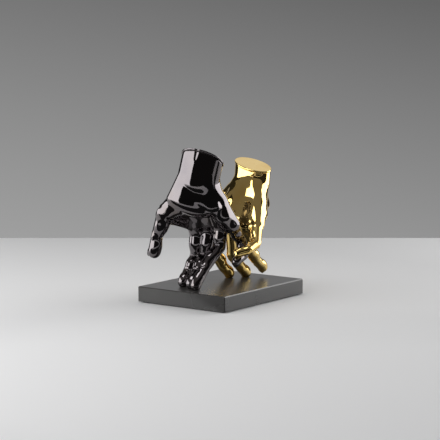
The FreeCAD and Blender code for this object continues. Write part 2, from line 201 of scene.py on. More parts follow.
# How far the fillets reach between the forms, in millimetres.
BONE_FILLETS = {"finger": 3.0, "thumb": 6.0, "palm": 10.0, "back": 12.0, "web": 9.0}
HEEL_FILLETS = {"edge": 12.0, "rays": 9.0, "thumb": 6.0, "palm": 14.0}
FINGERS_FILLET = 1.5
BODY_FILLET = 7.0
WRIST_FILLET = 3.5
WRIST_BONE_FILLET = 5.0
CUT_EDGE = 1.2
CAP_UNDER_EDGE = 0.8


def place(shares):
    """A place in the part's frame in millimetres, from its shares of the hand's length."""
    return np.array(shares) * HAND_LENGTH + np.array((0.0, 0.0, PLATE_TOP))


def unit(vector):
    """A vector's direction."""
    return vector / np.linalg.norm(vector)


def square_to(vector, direction):
    """The direction of a vector once its part along another direction is taken out."""
    return unit(vector - direction * (vector @ direction))


def finger_width(finger):
    """The width that a finger's girth shares are taken of."""
    if finger == "thumb":
        return THUMB_WIDTH
    return FINGER_WIDTH * FINGER_SCALE_SHARES[finger]


def finger_joints(joint_shares, hand, finger):
    """A finger's joints. The pulp of one that stands is raised by a share of its radius."""
    joints = [place(shares) for shares in joint_shares[finger]]
    if (hand, finger) in STANDING:
        joints[-1][2] += finger_width(finger) * FINGER_GIRTH_SHARES[-1] / 2 * PULP_RISE_SHARE
    return joints


# Fields of distance on a grid. The surface of a form is where its field is zero.
def new_grid(low, high):
    """An empty grid between two corners."""
    axes = [np.arange(low[i] - MARGIN, high[i] + MARGIN, MESH_STEP, dtype=np.float32) for i in range(3)]
    field = np.full([len(axis) for axis in axes], FAR, dtype=np.float32)
    return {"axes": axes, "field": field}


def blank(grid):
    """An empty grid with another one's points."""
    return {"axes": grid["axes"], "field": np.full_like(grid["field"], FAR)}


def spread(values, axis):
    """Values along one axis, shaped so that they combine with those of the other two."""
    shape = [1, 1, 1]
    shape[axis] = -1
    return values.reshape(shape)


def window(grid, low, high):
    """The part of a grid between two corners: its slices, and its points along each axis."""
    cuts = []
    points = []
    for i in range(3):
        axis = grid["axes"][i]
        first = max(int((low[i] - MARGIN - axis[0]) / MESH_STEP), 0)
        last = min(int((high[i] + MARGIN - axis[0]) / MESH_STEP) + 2, len(axis))
        cuts.append(slice(first, last))
        points.append(spread(axis[first:last], i))
    return tuple(cuts), points


def soft_min(one, other, softness):
    """The union of two fields, with a fillet."""
    if softness <= 0:
        return np.minimum(one, other)
    overlap = np.maximum(softness - np.abs(one - other), 0) / softness
    return np.minimum(one, other) - overlap ** 3 * softness / 6


def soft_max(one, other, softness):
    """The common part of two fields, with a rounded edge."""
    return -soft_min(-one, -other, softness)


def merge(grid, form, softness):
    """Joins another form to the grid's own, with a fillet."""
    grid["field"] = soft_min(grid["field"], form["field"], softness)


def bone_distance(grid, start, end, start_radius, end_radius):
    """The distance from a tapered bone with round ends, and the part of the grid near it."""
    reach = max(start_radius, end_radius)
    cuts, points = window(grid, np.minimum(start, end) - reach, np.maximum(start, end) + reach)
    along = end - start
    offsets = [points[i] - start[i] for i in range(3)]
    share = np.clip(sum(offsets[i] * along[i] for i in range(3)) / (along @ along), 0, 1)
    distance = np.sqrt(sum((offsets[i] - share * along[i]) ** 2 for i in range(3)))
    return cuts, distance - start_radius - (end_radius - start_radius) * share


def add_bone(grid, start, end, start_radius, end_radius, softness):
    """Adds a tapered bone with round ends."""
    cuts, distance = bone_distance(grid, start, end, start_radius, end_radius)
    grid["field"][cuts] = soft_min(grid["field"][cuts], distance, softness)


def carve_groove(grid, start, end, start_radius, end_radius, softness):
    """Takes a rounded groove out of a form."""
    cuts, distance = bone_distance(grid, start, end, start_radius, end_radius)
    grid["field"][cuts] = soft_max(grid["field"][cuts], -distance, softness)


def add_oval_bone(grid, start, end, across, back, half_sizes, end_sizes, softness):
    """Adds an oval limb with round ends, from its half width and half thickness at either end."""
    along = end - start
    length = np.linalg.norm(along)
    reach = max(half_sizes + end_sizes)
    cuts, points = window(grid, np.minimum(start, end) - reach, np.maximum(start, end) + reach)
    offsets = [points[i] - start[i] for i in range(3)]
    share = sum(offsets[i] * along[i] for i in range(3)) / length ** 2
    inner = np.clip(share, 0, 1)
    half_width = half_sizes[0] + (end_sizes[0] - half_sizes[0]) * inner
    half_thickness = half_sizes[1] + (end_sizes[1] - half_sizes[1]) * inner
    parts = [sum((offsets[i] - inner * along[i]) * across[i] for i in range(3)) / half_width,
             sum((offsets[i] - inner * along[i]) * back[i] for i in range(3)) / half_thickness,
             (share - inner) * length / half_thickness]
    near = np.sqrt(sum(part ** 2 for part in parts))
    through = (parts[1] ** 2 + parts[2] ** 2) / half_thickness ** 2
    slope = np.sqrt((parts[0] / half_width) ** 2 + through)
    distance = near * (near - 1) / np.maximum(slope, LEAST_SLOPE)
    grid["field"][cuts] = soft_min(grid["field"][cuts], distance, softness)


def add_mound(grid, centre, directions, radii, softness):
    """Adds a rounded mound with three directions and three radii."""
    reach = np.sqrt(sum((directions[i] * radii[i]) ** 2 for i in range(3)))
    cuts, points = window(grid, centre - reach, centre + reach)
    offsets = [points[i] - centre[i] for i in range(3)]
    near = 0
    slope = 0
    for direction, radius in zip(directions, radii):
        part = sum(offsets[i] * direction[i] for i in range(3)) / radius
        near = near + part ** 2
        slope = slope + (part / radius) ** 2
    near = np.sqrt(near)
    distance = near * (near - 1) / np.maximum(np.sqrt(slope), LEAST_SLOPE)
    grid["field"][cuts] = soft_min(grid["field"][cuts], distance, softness)


def smooth_field(field):
    """The field after one light blur along each axis."""
    for axis in range(3):
        padded = np.concatenate((field.take([0], axis), field, field.take([-1], axis)), axis)
        count = field.shape[axis]
        middle = padded.take(range(1, count + 1), axis)
        field = middle / 2 + (padded.take(range(count), axis) + padded.take(range(2, count + 2), axis)) / 4
    return field


CORNERS = [(i, j, k) for i in (0, 1) for j in (0, 1) for k in (0, 1)]


def corner_view(field, corner):
    """The values at one corner of every cell."""
    cuts = tuple(slice(corner[i], corner[i] + field.shape[i] - 1) for i in range(3))
    return field[cuts]


def surface_points(field, active, cells):
    """The middle of each cell's crossings with the surface, in cell units."""
    values = {corner: corner_view(field, corner)[active] for corner in CORNERS}
    total = np.zeros((len(cells), 3))
    count = np.zeros(len(cells))
    for corner in CORNERS:
        for axis in range(3):
            if corner[axis] == 0:
                other = tuple(1 if i == axis else corner[i] for i in range(3))
                crossed = (values[corner] < 0) != (values[other] < 0)
                share = values[corner][crossed] / (values[corner][crossed] - values[other][crossed])
                total[crossed] += np.array(corner)
                total[crossed, axis] += share
                count[crossed] += 1
    return cells + total / count[:, None]


def surface_faces(field, number):
    """Four-sided faces, one round each grid edge that the surface crosses."""
    faces = []
    for axis in range(3):
        one = tuple(slice(0, -1) if i == axis else slice(1, -1) for i in range(3))
        two = tuple(slice(1, None) if i == axis else slice(1, -1) for i in range(3))
        start_inside = field[one] < 0
        crossed = start_inside != (field[two] < 0)
        index = np.argwhere(crossed)
        side = [i for i in range(3) if i != axis]
        index[:, side[0]] += 1
        index[:, side[1]] += 1
        steps = np.zeros((4, 3), dtype=int)
        steps[1, side[0]] = steps[2, side[0]] = -1
        steps[2, side[1]] = steps[3, side[1]] = -1
        quads = np.stack([number[tuple((index + step).T)] for step in steps], axis=1)
        turn = start_inside[crossed]
        if axis == 1:
            turn = ~turn
        quads[~turn] = quads[~turn][:, ::-1]
        faces.append(quads)
    return np.concatenate(faces)


def sample(field, points):
    """The field's value at points in cell units, between the grid's own points."""
    base = np.clip(np.floor(points).astype(int), 0, np.array(field.shape) - 2)
    share = points - base
    total = np.zeros(len(points))
    for corner in CORNERS:
        weight = np.ones(len(points))
        for i in range(3):
            weight = weight * (share[:, i] if corner[i] else 1 - share[:, i])
        total += weight * field[tuple((base + corner).T)]
    return total


def relax(points, faces):
    """Each point moved halfway to the middle of its neighbours."""
    total = np.zeros_like(points)
    count = np.zeros(len(points))
    for first in range(4):
        for second in ((first + 1) % 4, (first + 3) % 4):
            count += np.bincount(faces[:, first], minlength=len(points))
            for i in range(3):
                total[:, i] += np.bincount(faces[:, first], points[faces[:, second], i], len(points))
    return points / 2 + total / count[:, None] / 2


def mesh_from_field(name, grid):
    """A mesh of the field's zero surface, with its normals taken from the field."""
    field = grid["field"]
    inside = sum(corner_view(field < 0, corner).astype(int) for corner in CORNERS)
    active = (inside > 0) & (inside < len(CORNERS))
    cells = np.argwhere(active)
    number = np.full(active.shape, -1)
    number[active] = np.arange(len(cells))
    points = surface_points(field, active, cells)
    faces = surface_faces(field, number)
    slopes = np.gradient(field)
    for _ in range(RELAX_ROUNDS):
        points = relax(points, faces)
        for _ in range(PULL_ROUNDS):
            slope = np.stack([sample(part, points) for part in slopes], axis=1)
            steep = np.maximum((slope ** 2).sum(1), LEAST_SQUARED_SLOPE)
            points -= slope * (sample(field, points) / steep)[:, None]
    slope = np.stack([sample(part, points) for part in slopes], axis=1)
    normals = slope / np.linalg.norm(slope, axis=1)[:, None]
    low = np.array([axis[0] for axis in grid["axes"]])
    mesh = bpy.data.meshes.new(name)
    mesh.from_pydata(((low + points * MESH_STEP) * MM).tolist(), [], faces.tolist())
    mesh.shade_smooth()
    mesh.normals_split_custom_set_from_vertices(normals.tolist())
    mesh.update()
    return mesh


# The form of a hand.
def hand_frame(joint_shares):
    """The palm's wrist and length, and its directions: along, across and to the back."""
    wrist = place(joint_shares["wrist"][0])
    index = place(joint_shares["index"][0])
    little = place(joint_shares["little"][0])
    middle = (index + little) / 2
    along = unit(middle - wrist)
    across = square_to(index - little, along)
    thumb_joint = place(joint_shares["thumb"][1])
    back = np.cross(along, across)
    if back @ (thumb_joint - wrist) > 0:
        back = -back
    length = np.linalg.norm(middle - wrist)
    return {"wrist": wrist, "length": length, "along": along, "across": across, "back": back}


def spot(palm, shares):
    """A place in the palm from its shares of the palm's length, width and thickness."""
    along, across, through = shares
    point = palm["wrist"] + palm["along"] * palm["length"] * along
    return point + palm["across"] * PALM_WIDTH * across + palm["back"] * PALM_THICKNESS * through


def palm_side(joints):
    """The direction that a finger curls to."""
    return unit(unit(joints[-1] - joints[-2]) - unit(joints[1] - joints[0]))


def add_finger(grid, joints, width, girth_shares, softness):
    """One finger: tapered bones between its joints, each with a fat pad on its palm side."""
    radii = [width * share / 2 for share in girth_shares]
    curl = palm_side(joints)
    for index in range(len(joints) - 1):
        start, end = joints[index], joints[index + 1]
        add_bone(grid, start, end, radii[index], radii[index + 1], softness)
        along = unit(end - start)
        out = square_to(curl, along)
        side = np.cross(along, out)
        girth = radii[index] + radii[index + 1]
        length = np.linalg.norm(end - start) + (radii[-1] if index == len(joints) - 2 else 0.0)
        centre = start + along * length / 2 + out * girth * PAD_OUT_SHARE
        reach = (length * PAD_REACH_SHARES[0], girth * PAD_REACH_SHARES[1], girth * PAD_REACH_SHARES[2])
        add_mound(grid, centre, (along, side, out), reach, softness)


def crease_finger(grid, joints, width, girth_shares):
    """One crease on the palm side of each joint, three on its back, and a nail on the tip."""
    radii = [width * share / 2 for share in girth_shares]
    curl = palm_side(joints)
    for index in range(1, len(joints) - 1):
        radius = radii[index]
        along = unit(unit(joints[index + 1] - joints[index]) + unit(joints[index] - joints[index - 1]))
        out = square_to(curl, along)
        side = np.cross(along, out) * radius * CREASE_REACH_SHARE
        groove = radius * CREASE_RADIUS_SHARE
        level = radius * (1 + CREASE_RADIUS_SHARE - CREASE_DEPTH_SHARE)
        for towards, steps in ((out, PALM_SIDE_CREASES), (-out, BACK_CREASES)):
            for step in steps:
                middle = joints[index] + towards * level + along * radius * CREASE_GAP_SHARE * step
                drop = towards * radius * CREASE_DROP_SHARE
                carve_groove(grid, middle - side - drop, middle, groove, groove, groove)
                carve_groove(grid, middle, middle + side - drop, groove, groove, groove)
    along = unit(joints[-1] - joints[-2])
    out = -square_to(curl, along)
    radius = radii[-1]
    centre = joints[-1] + along * radius * NAIL_PLACE_SHARES[0] + out * radius * NAIL_PLACE_SHARES[1]
    reach = [radius * share for share in NAIL_REACH_SHARES]
    add_mound(grid, centre, (along, np.cross(along, out), out), reach, groove / 2)


def add_chain(grid, places, radii, softness):
    """Tapered bones from place to place."""
    for index in range(len(places) - 1):
        add_bone(grid, places[index], places[index + 1], radii[index], radii[index + 1], softness)


def add_palm(grid, joint_shares, palm):
    """The palm: its four bones, its smooth back and the bone that shows on the wrist."""
    for finger in FINGERS:
        knuckle = place(joint_shares[finger][0])
        start = palm["wrist"] + palm["across"] * WRIST_WIDTH * PALM_START_SHARES[finger]
        middle = (start + knuckle) / 2 + palm["back"] * PALM_THICKNESS * PALM_ARCH_SHARES[finger]
        radii = [PALM_THICKNESS * share for share in PALM_RADIUS_SHARES]
        radii[-1] = radii[-1] * FINGER_SCALE_SHARES[finger]
        add_chain(grid, [start, middle, knuckle], radii, BONE_FILLETS["palm"])
    for start, end in BACK_SHARES:
        places = [spot(palm, start[:3]), spot(palm, end[:3])]
        add_chain(grid, places, [PALM_THICKNESS * start[3], PALM_THICKNESS * end[3]], BONE_FILLETS["back"])
    bone = spot(palm, WRIST_BONE_SHARES[:3])
    reach = [PALM_THICKNESS * share for share in WRIST_BONE_SHARES[3:]]
    add_mound(grid, bone, (palm["along"], palm["across"], palm["back"]), reach, WRIST_BONE_FILLET)


def add_heel(grid, joint_shares, palm):
    """The fleshy heel that overhangs the palm's hollow and runs on to the thumb."""
    heel = blank(grid)
    edge = [spot(palm, shares[:3]) for shares in HEEL_EDGE_SHARES]
    radii = [PALM_THICKNESS * shares[3] for shares in HEEL_EDGE_SHARES]
    add_chain(heel, edge, radii, HEEL_FILLETS["edge"])
    for index, shares in enumerate(HEEL_RAY_SHARES):
        start_radius = PALM_THICKNESS * shares[3]
        add_bone(heel, spot(palm, shares[:3]), edge[index], start_radius, radii[index], HEEL_FILLETS["rays"])
    thumb = place(joint_shares["thumb"][1])
    thumb_radius = THUMB_WIDTH * THUMB_GIRTH_SHARES[1] / 2
    add_bone(heel, edge[0], thumb, radii[0], thumb_radius, HEEL_FILLETS["thumb"])
    merge(grid, heel, HEEL_FILLETS["palm"])


def add_palm_root(grid, palm, start, back, half_sizes):
    """The root of the palm: the wrist's oval, carried on and turned."""
    root = spot(palm, PALM_ROOT_SHARES[:3])
    start_sizes = tuple(half_size * ROOT_START_SHARE for half_size in half_sizes)
    root_sizes = (half_sizes[0] * PALM_ROOT_SHARES[3], half_sizes[1] * PALM_ROOT_SHARES[4])
    turn = math.radians(PALM_ROOT_TURN)
    turned_across = palm["across"] * math.cos(turn) - back * math.sin(turn)
    turned_back = back * math.cos(turn) + palm["across"] * math.sin(turn)
    add_oval_bone(grid, start, root, turned_across, turned_back, start_sizes, root_sizes, 0.0)


def carve_tendons(grid, forearm, half_thickness, limb, across, back):
    """The groove between the tendons, from beyond the cut to where it runs out."""
    across_share, off_share, radius_share, length_share = TENDON_SHARES
    skin = forearm + across * WRIST_THICKNESS * across_share - back * half_thickness
    radius = WRIST_THICKNESS * radius_share
    top = skin + limb * WRIST_THICKNESS * length_share - back * WRIST_THICKNESS * off_share
    carve_groove(grid, top, skin - back * radius * TENDON_END_SHARE, radius, radius, radius)


def add_wrist(grid, joint_shares, palm, wider=0.0):
    """The wrist and forearm as one oval limb, from inside the palm to beyond the cut."""
    forearm = place(joint_shares["forearm"][0])
    wrist = palm["wrist"]
    limb = unit(forearm - wrist)
    across = square_to(palm["across"], limb)
    back = square_to(palm["back"], limb)
    inside = wrist - limb * WRIST_THICKNESS * WRIST_START_SHARE
    beyond = forearm + limb * WRIST_WIDTH
    half_sizes = (WRIST_WIDTH / 2 + wider, WRIST_THICKNESS / 2 + wider)
    form = blank(grid)
    add_oval_bone(form, inside, beyond, across, back, half_sizes, half_sizes, 0.0)
    add_palm_root(form, palm, wrist + limb * WRIST_THICKNESS * ROOT_RISE_SHARE, back, half_sizes)
    merge(grid, form, WRIST_FILLET)
    carve_tendons(grid, forearm, half_sizes[1], limb, across, back)


def along_chain(places, share):
    """The place at a share along a chain: whole numbers are its joints."""
    index = min(int(share), len(places) - 2)
    return places[index] + (places[index + 1] - places[index]) * (share - index)


def add_web(grid, joint_shares):
    """The skin between the thumb and the index finger."""
    thumb = [place(shares) for shares in joint_shares["thumb"]]
    index = [place(joint_shares["wrist"][0]), place(joint_shares["index"][0])]
    for thumb_share, index_share, radius_share in WEB_SHARES:
        start = along_chain(thumb, thumb_share)
        end = along_chain(index, index_share)
        radius = THUMB_WIDTH * radius_share
        add_bone(grid, start, end, radius, radius, BONE_FILLETS["web"])


def hand_grid(joint_shares, hand, cut_normal):
    """The whole hand as a field, cut off at the wrist and flattened where it stands."""
    palm = hand_frame(joint_shares)
    places = [place(shares) for chain in joint_shares.values() for shares in chain]
    reach = WRIST_WIDTH / 2
    low = np.min(places, axis=0) - reach
    high = np.max(places, axis=0) + reach
    low[2] = PLATE_TOP - MARGIN
    grid = new_grid(low, high)
    for finger in FINGERS:
        joints = finger_joints(joint_shares, hand, finger)
        one = blank(grid)
        add_finger(one, joints, finger_width(finger), FINGER_GIRTH_SHARES, BONE_FILLETS["finger"])
        crease_finger(one, joints, finger_width(finger), FINGER_GIRTH_SHARES)
        merge(grid, one, FINGERS_FILLET)
    body = blank(grid)
    add_palm(body, joint_shares, palm)
    add_heel(body, joint_shares, palm)
    add_wrist(body, joint_shares, palm)
    joints = finger_joints(joint_shares, hand, "thumb")
    add_finger(body, joints, THUMB_WIDTH, THUMB_GIRTH_SHARES, BONE_FILLETS["thumb"])
    add_web(body, joint_shares)
    crease_finger(body, joints, THUMB_WIDTH, THUMB_GIRTH_SHARES)
    merge(grid, body, BODY_FILLET)
    grid["field"] = smooth_field(grid["field"])
    cut_off(grid, place(joint_shares["forearm"][0]), cut_normal, CUT_EDGE)
    cut_off(grid, np.array((0.0, 0.0, PLATE_TOP)), np.array((0.0, 0.0, -1.0)), 0.0)
    return grid


def cut_off(grid, point, normal, softness):
    """Takes away what lies beyond a plane, and rounds the edge."""
    points = [spread(grid["axes"][i], i) for i in range(3)]
    height = sum((points[i] - point[i]) * normal[i] for i in range(3))
    grid["field"] = soft_max(grid["field"], height.astype(np.float32), softness)


def cap_grid(joint_shares, cut_normal):
    """The disc on the wrist, a little wider than the wrist itself."""
    palm = hand_frame(joint_shares)
    forearm = place(joint_shares["forearm"][0])
    grid = new_grid(forearm - WRIST_WIDTH * CAP_ROOM_SHARE, forearm + WRIST_WIDTH * CAP_ROOM_SHARE)
    add_wrist(grid, joint_shares, palm, CAP_LIP)
    grid["field"] = smooth_field(grid["field"])
    cut_off(grid, forearm + cut_normal * CAP_THICKNESS, cut_normal, CUT_EDGE)
    cut_off(grid, forearm, -cut_normal, CAP_UNDER_EDGE)
    return grid


def add_piece(name, mesh, material, slot_name, *nodes):
    """A finished piece that stands for its solids and rides with the whole object."""
    piece = bpy.data.objects.new(name, mesh)
    bpy.context.scene.collection.objects.link(piece)
    mesh.materials.append(material)
    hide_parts(*nodes)
    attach(piece, "root")


# The finishes. Colours along a noise are pairs of a place and a colour.
NOISE_LOW = 0.3
NOISE_HIGH = 0.7
DARK_STOPS = [
    (0.30, (0.150, 0.138, 0.145, 1)),
    (0.55, (0.175, 0.160, 0.163, 1)),
    (0.75, (0.165, 0.145, 0.138, 1)),
]
GOLD_STOPS = [
    (0.30, (0.83, 0.56, 0.17, 1)),
    (0.55, (0.90, 0.66, 0.25, 1)),
    (0.75, (0.86, 0.60, 0.20, 1)),
]
PLATE_STOPS = [(NOISE_LOW, (0.028, 0.027, 0.026, 1)), (NOISE_HIGH, (0.036, 0.035, 0.033, 1))]
FELT_STOPS = [(NOISE_LOW, (0.012, 0.012, 0.012, 1)), (NOISE_HIGH, (0.045, 0.045, 0.045, 1))]
BRASS_STOPS = [(NOISE_LOW, (0.62, 0.46, 0.20, 1)), (NOISE_HIGH, (0.78, 0.60, 0.30, 1))]
STEEL_STOPS = [(NOISE_LOW, (0.42, 0.42, 0.43, 1)), (NOISE_HIGH, (0.60, 0.60, 0.60, 1))]
# The lowest and highest roughness.
DARK_ROUGHNESS = (0.03, 0.06)
GOLD_ROUGHNESS = (0.04, 0.08)
PLATE_ROUGHNESS = (0.26, 0.34)
BRASS_ROUGHNESS = (0.2, 0.35)
STEEL_ROUGHNESS = (0.22, 0.38)
# Noise: its features per metre, its detail and, where it isn't one half, its roughness.
POOLED_NOISE = (28.0, 3.0)
UNEVEN_NOISE = (90.0, 4.0)
SKIN_NOISE = (160.0, 2.0)
CLOUD_NOISE = (14.0, 4.0)
GRAIN_NOISE = (1500.0, 3.0)
FIBRE_NOISE = (2200.0, 6.0, 0.7)
METAL_NOISE = (900.0, 3.0)
# Bumps: their strength, and their height in metres.
SKIN_BUMP = (0.10, 0.0004)
GRAIN_BUMP = (0.06, 0.0001)
FIBRE_BUMP = (0.6, 0.0006)
# What is the same all over a finish.
METAL_VALUES = {"Metallic": 1.0}
PLATE_VALUES = {"Specular IOR Level": 0.6, "Coat Weight": 0.35, "Coat Roughness": 0.22}
FELT_VALUES = {"Roughness": 0.95, "Sheen Weight": 0.3}


def new_material(name):
    """A material, its node tree and its shader."""
    material = bpy.data.materials.new(name)
    material.use_nodes = True
    return material, material.node_tree, material.node_tree.nodes["Principled BSDF"]


def set_values(node, values):
    """Sets a node's inputs that have one value all over."""
    for key, value in values.items():
        node.inputs[key].default_value = value


def add_node(tree, kind, values=None, links=None):
    """A node with its input values and links."""
    node = tree.nodes.new(kind)
    set_values(node, values or {})
    for key, socket in (links or {}).items():
        tree.links.new(socket, node.inputs[key])
    return node


def object_noise(tree, scale, detail, roughness=0.5):
    """Noise fixed to the object, in features per metre."""
    source = add_node(tree, "ShaderNodeTexCoord")
    values = {"Scale": scale, "Detail": detail, "Roughness": roughness}
    node = add_node(tree, "ShaderNodeTexNoise", values, {"Vector": source.outputs["Object"]})
    return node.outputs["Fac"]


def ramp(tree, fac, stops):
    """Colours along a factor."""
    node = add_node(tree, "ShaderNodeValToRGB", links={"Fac": fac})
    elements = node.color_ramp.elements
    while len(elements) < len(stops):
        elements.new(0.5)
    for element, (position, colour) in zip(elements, stops):
        element.position = position
        element.color = colour
    return node.outputs["Color"]


def between(tree, fac, limits):
    """A noise spread over a range."""
    values = {"From Min": NOISE_LOW, "From Max": NOISE_HIGH, "To Min": limits[0], "To Max": limits[1]}
    return add_node(tree, "ShaderNodeMapRange", values, {"Value": fac}).outputs["Result"]


def bump(tree, height, strength, distance):
    """A bump from a height."""
    values = {"Strength": strength, "Distance": distance}
    return add_node(tree, "ShaderNodeBump", values, {"Height": height}).outputs["Normal"]


def glaze_material(name, stops, roughness):
    """A fired mirror glaze: pooled colour, a slightly uneven polish and a soft skin."""
    material, tree, shader = new_material(name)
    tree.links.new(ramp(tree, object_noise(tree, *POOLED_NOISE), stops), shader.inputs["Base Color"])
    uneven = object_noise(tree, *UNEVEN_NOISE)
    tree.links.new(between(tree, uneven, roughness), shader.inputs["Roughness"])
    tree.links.new(bump(tree, object_noise(tree, *SKIN_NOISE), *SKIN_BUMP), shader.inputs["Normal"])
    set_values(shader, METAL_VALUES)
    return material


def plate_material():
    """Dark satin lacquer on the plate."""
    material, tree, shader = new_material("plate")
    clouds = object_noise(tree, *CLOUD_NOISE)
    tree.links.new(ramp(tree, clouds, PLATE_STOPS), shader.inputs["Base Color"])
    tree.links.new(between(tree, clouds, PLATE_ROUGHNESS), shader.inputs["Roughness"])
    tree.links.new(bump(tree, object_noise(tree, *GRAIN_NOISE), *GRAIN_BUMP), shader.inputs["Normal"])
    set_values(shader, PLATE_VALUES)
    return material


def felt_material():
    """Pressed black felt."""
    material, tree, shader = new_material("felt")
    fibres = object_noise(tree, *FIBRE_NOISE)
    tree.links.new(ramp(tree, fibres, FELT_STOPS), shader.inputs["Base Color"])
    tree.links.new(bump(tree, fibres, *FIBRE_BUMP), shader.inputs["Normal"])
    set_values(shader, FELT_VALUES)
    return material


def metal_material(name, stops, roughness):
    """Bare metal with a fine, uneven grain."""
    material, tree, shader = new_material(name)
    grain = object_noise(tree, *METAL_NOISE)
    tree.links.new(ramp(tree, grain, stops), shader.inputs["Base Color"])
    tree.links.new(between(tree, grain, roughness), shader.inputs["Roughness"])
    set_values(shader, METAL_VALUES)
    return material


def dress_nodes(material, names):
    """Gives solids that are shown as they are their finish."""
    for name in names:
        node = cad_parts[name]
        node.data.materials.clear()
        node.data.materials.append(material)


def add_hand(name, joint_shares, cut_lean_shares, material, finish_slot):
    """A hand and its cap, both in the same finish."""
    normal = unit(np.array((cut_lean_shares[0], cut_lean_shares[1], 1.0)))
    hand_mesh = mesh_from_field(name + "_glazed_hand", hand_grid(joint_shares, name, normal))
    add_piece(name + "_glazed_hand", hand_mesh, material, finish_slot, name + "_hand")
    cap_mesh = mesh_from_field(name + "_glazed_cap", cap_grid(joint_shares, normal))
    add_piece(name + "_glazed_cap", cap_mesh, material, finish_slot, name + "_wrist_cap")


dark_glaze = glaze_material("dark_glaze", DARK_STOPS, DARK_ROUGHNESS)
gold_lustre = glaze_material("gold_lustre", GOLD_STOPS, GOLD_ROUGHNESS)
add_hand("dark", DARK_JOINT_SHARES, DARK_CUT_LEAN_SHARES, dark_glaze, "dark_glaze")
add_hand("gold", GOLD_JOINT_SHARES, GOLD_CUT_LEAN_SHARES, gold_lustre, "gold_lustre")

dress_nodes(plate_material(), ["base_plate"])
dress_nodes(felt_material(), ["felt_pad"])
brass = metal_material("insert_brass", BRASS_STOPS, BRASS_ROUGHNESS)
steel = metal_material("screw_steel", STEEL_STOPS, STEEL_ROUGHNESS)
inserts = [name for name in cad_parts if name.endswith("_insert")]
fasteners = [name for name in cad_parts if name.endswith(("_screw", "_washer"))]
dress_nodes(brass, inserts)
dress_nodes(steel, fasteners)

# The camera: its place in metres, its turn and tilt, and its lens and sensor in millimetres.
CAMERA_PLACE = Vector((-1.8834, -1.3759, 0.4063))
CAMERA_YAW = math.radians(53.788)
CAMERA_PITCH = math.radians(-7.087)
CAMERA_LENS = 130.9
SENSOR = 36.0


def level_direction(turn):
    """A level direction, turned from +Y towards +X."""
    return Vector((math.sin(turn), math.cos(turn), 0.0))


camera_data = bpy.data.cameras.new("camera")
camera_data.lens = CAMERA_LENS
camera_data.sensor_width = SENSOR
camera = bpy.data.objects.new("camera", camera_data)
bpy.context.scene.collection.objects.link(camera)
ahead = level_direction(CAMERA_YAW)
look = Vector((ahead.x * math.cos(CAMERA_PITCH), ahead.y * math.cos(CAMERA_PITCH), math.sin(CAMERA_PITCH)))
camera.location = CAMERA_PLACE
camera.rotation_mode = "QUATERNION"
camera.rotation_quaternion = look.to_track_quat("-Z", "Y")
bpy.context.scene.camera = camera

# The studio: a pale floor, a grey backdrop and soft lights. The floor's far edge gives the line
# behind the object, at this pixel from the top of the photograph.
FRAME_PIXELS = 440.0
FLOOR_LINE_PIXEL = 238.0
# Where the floor starts ahead of the camera, where the part that reflections see starts, and half
# the floor's width, in metres.
FLOOR_START = 1.40
MIRRORED_START = 1.80
FLOOR_HALF = 2.2
# The floor's tone is darkened by painted shade: it runs from the near one, where it starts, to the far one,
# at this distance.
FLOOR_NEAR_TONE = 0.84
FLOOR_FAR_TONE = 0.54
FLOOR_FAR = 3.0
FLOOR_VALUES = {"Roughness": 0.7, "Specular IOR Level": 0.2}
# The light all round, the tone of the backdrop at the camera's height, and how much darker painted shade
# makes it to the right and upwards.
FILL_COLOUR = (0.34, 0.34, 0.345, 1)
BACKDROP_TONE = 0.173
BACKDROP_FALL = (0.21, 1.1)
# Soft boxes: the turn to the camera's left in degrees, the distance, height, width and tallness in
# metres, and the radiance. They face this height above the middle of the floor.
SOFTBOXES = {
    "left_box": (78.0, 1.2, 0.24, 1.8, 0.95, 3.2),
    "right_box": (-108.0, 1.2, 0.40, 1.1, 1.3, 3.6),
    "key_box": (48.0, 0.55, 1.15, 0.5, 0.5, 4.0),
    "top_box": (180.0, 1.0, 1.1, 1.2, 0.8, 0.6),
}
SOFTBOX_AIM = 0.12
# Dark curved screens: the turns from the first side to the last and the heights, in degrees, and the
# radiance. All stand at one distance and have one tint.
FLAGS = {
    "front_flag": ((-150.0, 150.0), (-30.0, -15.0, 0.0, 15.0, 30.0), 0.02),
    "upper_flag": ((-180.0, 180.0), (30.0, 45.0, 60.0, 75.0), 0.16),
}
FLAG_DISTANCE = 3.0
FLAG_STEPS = 24
FLAG_TINT = (1.0, 0.95, 0.92)
# A dark strip on the floor before the object, seen only in reflections, that puts painted shade into the
# fingers: where it starts and ends ahead of the camera, how high it lies, and its tone.
GROUND_FLAG_START = 2.01
GROUND_FLAG_END = 2.21
GROUND_FLAG_HEIGHT = 0.002
GROUND_FLAG_TONE = 0.03
GROUND_FLAG_VALUES = {
    "Base Color": (GROUND_FLAG_TONE, GROUND_FLAG_TONE, GROUND_FLAG_TONE, 1),
    "Roughness": 0.7,
    "Specular IOR Level": 0.0,
}

sideways = Vector((ahead.y, -ahead.x, 0.0))


def along_direction(tree, output, direction):
    """How far a place or direction lies along a fixed direction."""
    source = add_node(tree, "ShaderNodeTexCoord")
    node = add_node(tree, "ShaderNodeVectorMath", {1: direction}, {0: source.outputs[output]})
    node.operation = "DOT_PRODUCT"
    return node.outputs["Value"]


def add_stage_piece(name, points, faces, material):
    """A piece of the studio."""
    mesh = bpy.data.meshes.new(name)
    mesh.from_pydata([tuple(point) for point in points], [], faces)
    mesh.materials.append(material)
    piece = bpy.data.objects.new(name, mesh)
    bpy.context.scene.collection.objects.link(piece)
    return piece


def show_to_reflections_only(flag):
    """Leaves a dark screen to reflections: it isn't seen itself and takes no light away."""
    flag.visible_camera = False
    flag.visible_diffuse = False
    flag.visible_shadow = False


